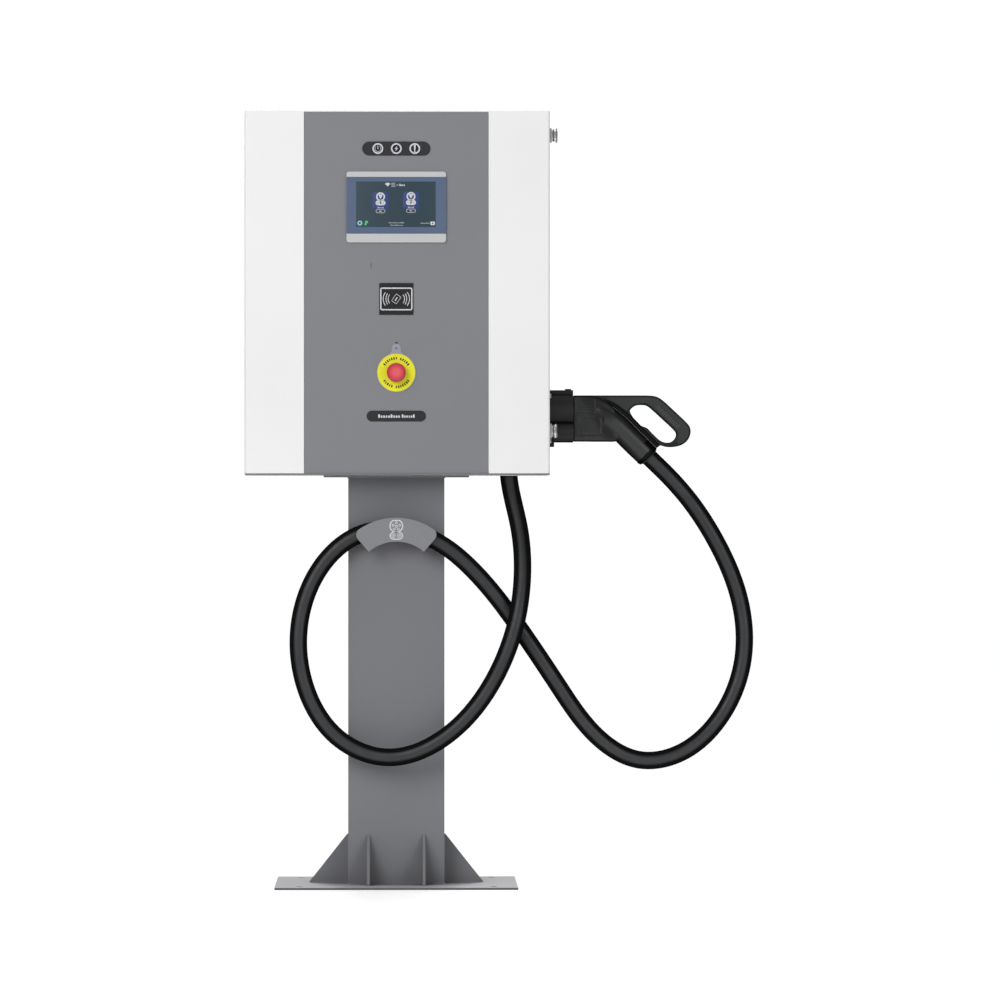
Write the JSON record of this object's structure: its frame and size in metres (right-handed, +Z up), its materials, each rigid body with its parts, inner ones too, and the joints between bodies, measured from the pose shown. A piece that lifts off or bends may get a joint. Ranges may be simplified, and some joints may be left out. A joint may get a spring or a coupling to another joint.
{
  "type": "ev charging post",
  "caption": "Free-standing DC charging post: cabinet with hinged door, touch display and emergency stop on a gusseted pedestal, with a combined plug in a side holster and its cable on a hook.",
  "frame": {"origin": "centre of the base plate's underside", "axes": "+X to the right of the door, +Y to the rear, +Z up"},
  "size_m": [0.9836, 0.4, 1.49],
  "materials": {
    "white_paint": "fine textured white powder coat",
    "grey_paint": "matt mid-grey powder coat",
    "pedestal_paint": "matt grey powder coat",
    "base_paint": "matt light grey powder coat",
    "zinc": "zinc plated steel",
    "chrome": "polished chrome",
    "silver_trim": "satin silver",
    "blue_glass": "blue tinted cover glass over a dark screen",
    "black_gloss": "gloss black window",
    "black_panel": "satin black plate",
    "lamp_lens": "clear light guide",
    "module_case": "black moulded case",
    "circuit_board": "green solder mask",
    "breaker_case": "light grey moulded case",
    "module_metal": "plain aluminium case",
    "stop_yellow": "yellow label plastic",
    "stop_red": "red moulded head",
    "stop_grey": "grey moulded plate",
    "foam": "closed cell foam",
    "grommet_rubber": "black rubber",
    "cable_jacket": "smooth glossy black jacket",
    "copper_lead": "red insulated lead",
    "holster_plastic": "black moulded plastic",
    "gun_plastic": "black glass-filled nylon",
    "handle_plastic": "dark grey soft-touch grip",
    "contact_metal": "silver plated brass"
  },
  "bodies": {
    "root": {"base_plate": "base_paint", "column": "pedestal_paint", "side_gussets": "pedestal_paint", "face_gussets": "pedestal_paint", "top_flange": "pedestal_paint", "flange_bolts": "zinc", "hook_backplate": "pedestal_paint", "hook_saddle": "pedestal_paint", "hook_plate": "grey_paint", "hook_screws": "zinc", "cabinet_body": "white_paint", "mounting_plate": "zinc", "door_gasket": "foam", "hinge_brackets": "zinc", "lock_keepers": "zinc", "fan_frames": "module_case", "power_module": "module_metal", "din_rail": "zinc", "supply_breaker": "breaker_case", "energy_meter": "breaker_case", "dc_contactors": "module_case", "control_board": "circuit_board", "supply_cable": "cable_jacket", "output_leads": "copper_lead", "cable_grommet": "grommet_rubber", "cable_clamp": "module_case", "holster_socket": "holster_plastic", "holster_screws": "zinc", "charging_cable": "cable_jacket"},
    "door": {"door_shell": "white_paint", "front_panel": "grey_paint", "door_hinge_brackets": "zinc", "hinge_pins": "zinc", "display_bezel": "silver_trim", "display_glass": "blue_glass", "display_module": "module_case", "indicator_plate": "black_panel", "indicator_lenses": "lamp_lens", "card_reader_window": "black_gloss", "card_reader_module": "module_case", "estop_backplate": "stop_grey", "estop_ring": "stop_yellow", "estop_collar": "module_case", "estop_contact_block": "breaker_case", "estop_label": "black_panel", "lock_barrels": "chrome", "lock_nuts": "zinc"},
    "stop_plunger": {"estop_stem": "module_case"},
    "stop_head": {"estop_head": "stop_red"},
    "upper_lock": {"upper_lock_plug": "chrome"},
    "lower_lock": {"lower_lock_plug": "chrome"},
    "upper_fan": {"upper_fan_rotor": "module_case"},
    "lower_fan": {"lower_fan_rotor": "module_case"},
    "breaker_toggle": {"breaker_lever": "stop_grey"},
    "gun": {"gun_shell_front": "gun_plastic", "gun_shell_rear": "gun_plastic", "gun_handle": "handle_plastic", "gun_nose": "gun_plastic", "gun_contacts": "contact_metal", "gun_boot": "grommet_rubber"}
  },
  "joints": [
    {"name": "door_hinge", "type": "hinge", "parent": "root", "child": "door", "pos_m": [-0.2815, -0.1, 1.14], "axis": [0, 0, -1], "range_deg": [0, 110]},
    {"name": "upper_lock_turn", "type": "hinge", "parent": "door", "child": "upper_lock", "pos_m": [0.29, -0.1025, 1.4438], "axis": [1, 0, 0], "range_deg": [0, 90]},
    {"name": "lower_lock_turn", "type": "hinge", "parent": "door", "child": "lower_lock", "pos_m": [0.29, -0.1025, 0.8763], "axis": [1, 0, 0], "range_deg": [0, 90]},
    {"name": "estop_press", "type": "slide", "parent": "door", "child": "stop_plunger", "axis": [0, 1, 0], "range_m": [0, 0.004], "stiffness_N_per_m": 800},
    {"name": "estop_release", "type": "hinge", "parent": "stop_plunger", "child": "stop_head", "pos_m": [0, -0.13, 0.9877], "axis": [0, 1, 0], "range_deg": [0, 30]},
    {"name": "upper_fan_spin", "type": "hinge", "parent": "root", "child": "upper_fan", "pos_m": [-0.288, 0.035, 1.105], "axis": [1, 0, 0], "continuous": true},
    {"name": "lower_fan_spin", "type": "hinge", "parent": "root", "child": "lower_fan", "pos_m": [-0.288, 0.035, 0.965], "axis": [1, 0, 0], "continuous": true},
    {"name": "breaker_toggle_flip", "type": "hinge", "parent": "root", "child": "breaker_toggle", "pos_m": [-0.164, 0.044, 0.9105], "axis": [-1, 0, 0], "range_deg": [0, 60]},
    {"name": "gun_unplug", "type": "slide", "parent": "root", "child": "gun", "axis": [1, 0, 0], "range_m": [0, 0.06], "deforming": ["charging_cable"]}
  ]
}
